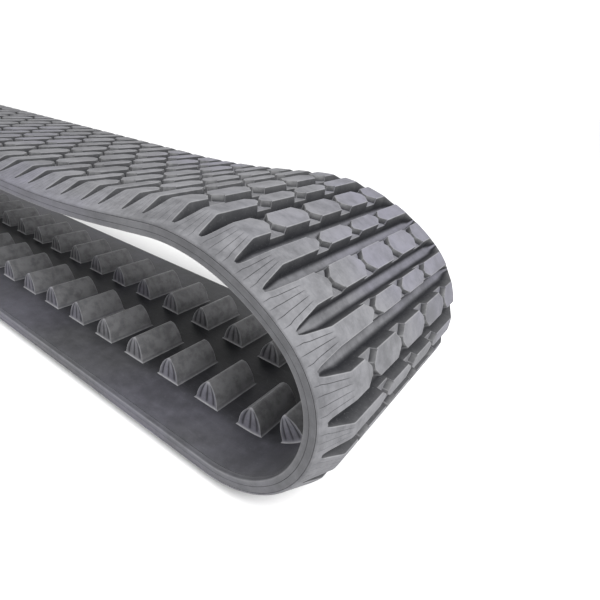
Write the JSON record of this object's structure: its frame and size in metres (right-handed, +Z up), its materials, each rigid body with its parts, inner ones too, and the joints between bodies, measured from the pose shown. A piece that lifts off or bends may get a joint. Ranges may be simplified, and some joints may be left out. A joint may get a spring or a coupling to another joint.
{
  "type": "rubber track",
  "caption": "Endless rubber track for a compact loader, with two rows of drive lugs inside, a cord ply in the carcass and notched tread bars with ribbed shoulders outside.",
  "frame": {"origin": "middle of the footprint on the ground, at the tops of the tread bars of the ground run", "axes": "+X along the track towards the front bend, +Y across the belt to the left, +Z up"},
  "size_m": [2.4737, 0.4572, 0.4127],
  "materials": {
    "wheel_side_rubber": "smooth moulded rubber, lightly dusted",
    "cord_ply": "parallel polymer cords skimmed in rubber",
    "ground_side_rubber": "moulded rubber, dark in the grooves, dusted on the edges",
    "tread_rubber": "matt rubber, greyed by dust and bloom",
    "drive_lug_rubber": "satin moulded rubber with lighter worn edges"
  },
  "bodies": {
    "ground_run": {"ground_run_wheel_side_cover": "wheel_side_rubber", "ground_run_cord_ply": "cord_ply", "ground_run_ground_side_cover": "ground_side_rubber", "ground_run_tread_bars": "tread_rubber", "ground_run_drive_lugs": "drive_lug_rubber"},
    "front_bend_1": {"front_bend_1_wheel_side_cover": "wheel_side_rubber", "front_bend_1_cord_ply": "cord_ply", "front_bend_1_ground_side_cover": "ground_side_rubber", "front_bend_1_tread_bars": "tread_rubber", "front_bend_1_drive_lugs": "drive_lug_rubber"},
    "front_bend_2": {"front_bend_2_wheel_side_cover": "wheel_side_rubber", "front_bend_2_cord_ply": "cord_ply", "front_bend_2_ground_side_cover": "ground_side_rubber", "front_bend_2_tread_bars": "tread_rubber", "front_bend_2_drive_lugs": "drive_lug_rubber"},
    "front_bend_3": {"front_bend_3_wheel_side_cover": "wheel_side_rubber", "front_bend_3_cord_ply": "cord_ply", "front_bend_3_ground_side_cover": "ground_side_rubber", "front_bend_3_tread_bars": "tread_rubber", "front_bend_3_drive_lugs": "drive_lug_rubber"},
    "front_bend_4": {"front_bend_4_wheel_side_cover": "wheel_side_rubber", "front_bend_4_cord_ply": "cord_ply", "front_bend_4_ground_side_cover": "ground_side_rubber", "front_bend_4_tread_bars": "tread_rubber", "front_bend_4_drive_lugs": "drive_lug_rubber"},
    "return_run_front": {"return_run_front_wheel_side_cover": "wheel_side_rubber", "return_run_front_cord_ply": "cord_ply", "return_run_front_ground_side_cover": "ground_side_rubber", "return_run_front_tread_bars": "tread_rubber", "return_run_front_drive_lugs": "drive_lug_rubber"},
    "return_run_rear": {"return_run_rear_wheel_side_cover": "wheel_side_rubber", "return_run_rear_cord_ply": "cord_ply", "return_run_rear_ground_side_cover": "ground_side_rubber", "return_run_rear_tread_bars": "tread_rubber", "return_run_rear_drive_lugs": "drive_lug_rubber"},
    "rear_bend_4": {"rear_bend_4_wheel_side_cover": "wheel_side_rubber", "rear_bend_4_cord_ply": "cord_ply", "rear_bend_4_ground_side_cover": "ground_side_rubber", "rear_bend_4_tread_bars": "tread_rubber", "rear_bend_4_drive_lugs": "drive_lug_rubber"},
    "rear_bend_3": {"rear_bend_3_wheel_side_cover": "wheel_side_rubber", "rear_bend_3_cord_ply": "cord_ply", "rear_bend_3_ground_side_cover": "ground_side_rubber", "rear_bend_3_tread_bars": "tread_rubber", "rear_bend_3_drive_lugs": "drive_lug_rubber"},
    "rear_bend_2": {"rear_bend_2_wheel_side_cover": "wheel_side_rubber", "rear_bend_2_cord_ply": "cord_ply", "rear_bend_2_ground_side_cover": "ground_side_rubber", "rear_bend_2_tread_bars": "tread_rubber", "rear_bend_2_drive_lugs": "drive_lug_rubber"},
    "rear_bend_1": {"rear_bend_1_wheel_side_cover": "wheel_side_rubber", "rear_bend_1_cord_ply": "cord_ply", "rear_bend_1_ground_side_cover": "ground_side_rubber", "rear_bend_1_tread_bars": "tread_rubber", "rear_bend_1_drive_lugs": "drive_lug_rubber"}
  },
  "joints": [
    {"name": "front_flex_1", "type": "hinge", "parent": "ground_run", "child": "front_bend_1", "pos_m": [1.0133, 0, 0.034], "axis": [0, 1, 0], "range_deg": [-8, 10], "stiffness_Nm_per_rad": 400, "springref_deg": -3.77},
    {"name": "front_flex_2", "type": "hinge", "parent": "front_bend_1", "child": "front_bend_2", "pos_m": [1.15815, 0, 0.08903], "axis": [0, 1, 0], "range_deg": [-5.29, 4.23], "stiffness_Nm_per_rad": 400, "springref_deg": 1.99},
    {"name": "front_flex_3", "type": "hinge", "parent": "front_bend_2", "child": "front_bend_3", "pos_m": [1.20172, 0, 0.22209], "axis": [0, 1, 0], "range_deg": [-11.45, 9.16], "stiffness_Nm_per_rad": 400, "springref_deg": 4.31},
    {"name": "front_flex_4", "type": "hinge", "parent": "front_bend_3", "child": "front_bend_4", "pos_m": [1.1049, 0, 0.3415], "axis": [0, 1, 0], "range_deg": [-3.33, 2.67], "stiffness_Nm_per_rad": 400, "springref_deg": 1.25},
    {"name": "front_flex_5", "type": "hinge", "parent": "front_bend_4", "child": "return_run_front", "pos_m": [0.96665, 0, 0.37857], "axis": [0, 1, 0], "range_deg": [-8.06, 10.07], "stiffness_Nm_per_rad": 400, "springref_deg": -3.79},
    {"name": "rear_flex_1", "type": "hinge", "parent": "ground_run", "child": "rear_bend_1", "pos_m": [-1.0187, 0, 0.034], "axis": [0, 1, 0], "range_deg": [-9.44, 7.55], "stiffness_Nm_per_rad": 400, "springref_deg": 3.55},
    {"name": "rear_flex_2", "type": "hinge", "parent": "rear_bend_1", "child": "rear_bend_2", "pos_m": [-1.15075, 0, 0.08145], "axis": [0, 1, 0], "range_deg": [-3.61, 4.51], "stiffness_Nm_per_rad": 400, "springref_deg": -1.7},
    {"name": "rear_flex_3", "type": "hinge", "parent": "rear_bend_2", "child": "rear_bend_3", "pos_m": [-1.20091, 0, 0.22743], "axis": [0, 1, 0], "range_deg": [-9.18, 11.48], "stiffness_Nm_per_rad": 400, "springref_deg": -4.32},
    {"name": "rear_flex_4", "type": "hinge", "parent": "rear_bend_3", "child": "rear_bend_4", "pos_m": [-1.11416, 0, 0.33634], "axis": [0, 1, 0], "range_deg": [-3.33, 4.16], "stiffness_Nm_per_rad": 400, "springref_deg": -1.57},
    {"name": "rear_flex_5", "type": "hinge", "parent": "rear_bend_4", "child": "return_run_rear", "pos_m": [-0.96125, 0, 0.3787], "axis": [0, 1, 0], "range_deg": [-10.71, 8.57], "stiffness_Nm_per_rad": 400, "springref_deg": 4.03}
  ],
  "couplings": [
    {"joint": "front_flex_2", "follows": "front_flex_1", "ratio": -0.52874},
    {"joint": "front_flex_3", "follows": "front_flex_1", "ratio": -1.1449},
    {"joint": "front_flex_4", "follows": "front_flex_1", "ratio": -0.33264},
    {"joint": "front_flex_5", "follows": "front_flex_1", "ratio": 1.0063},
    {"joint": "rear_flex_1", "follows": "front_flex_1", "ratio": -0.94304},
    {"joint": "rear_flex_2", "follows": "front_flex_1", "ratio": 0.45042},
    {"joint": "rear_flex_3", "follows": "front_flex_1", "ratio": 1.1474},
    {"joint": "rear_flex_4", "follows": "front_flex_1", "ratio": 0.41567},
    {"joint": "rear_flex_5", "follows": "front_flex_1", "ratio": -1.0705}
  ]
}
